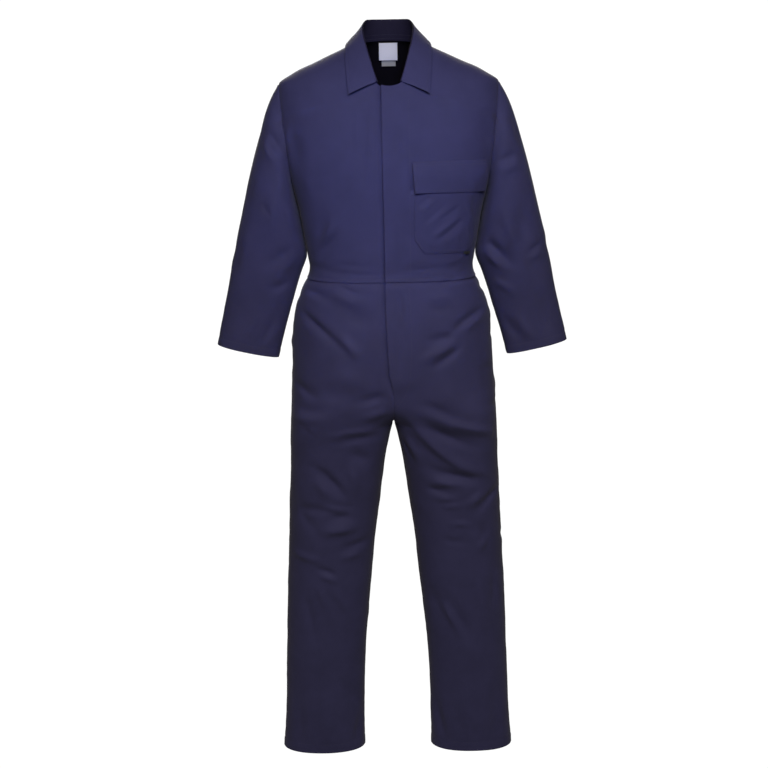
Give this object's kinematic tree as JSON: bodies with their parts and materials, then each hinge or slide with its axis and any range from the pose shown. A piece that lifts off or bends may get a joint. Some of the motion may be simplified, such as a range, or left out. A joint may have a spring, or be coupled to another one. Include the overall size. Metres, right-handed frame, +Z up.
{
  "type": "boiler suit",
  "caption": "Navy work coverall with long sleeves, a pointed collar, a concealed front closure and a flapped chest pocket, filled out as if worn and hollow, with open neck, cuffs and hems.",
  "frame": {"origin": "on the centre line between the neck points, level with the back neckline seam, where the wearer's shoulders hold the garment up", "axes": "+X to the wearer's left, -Y to the front, +Z up"},
  "size_m": [0.774, 0.2961, 1.6588],
  "materials": {
    "navy_twill": "matte",
    "tab": "matte",
    "label": "satin",
    "care_label": "satin"
  },
  "bodies": {
    "root": {"front_right": "navy_twill", "front_left": "navy_twill", "back": "navy_twill", "sleeve_right": "navy_twill", "sleeve_left": "navy_twill", "trouser_front_right": "navy_twill", "trouser_front_left": "navy_twill", "trouser_back_right": "navy_twill", "trouser_back_left": "navy_twill", "placket": "navy_twill", "fly": "navy_twill", "chest_pocket": "navy_twill", "pocket_flap": "navy_twill", "collar": "navy_twill", "pocket_tab": "tab", "neck_label": "label", "care_label": "care_label"}
  },
  "joints": []
}
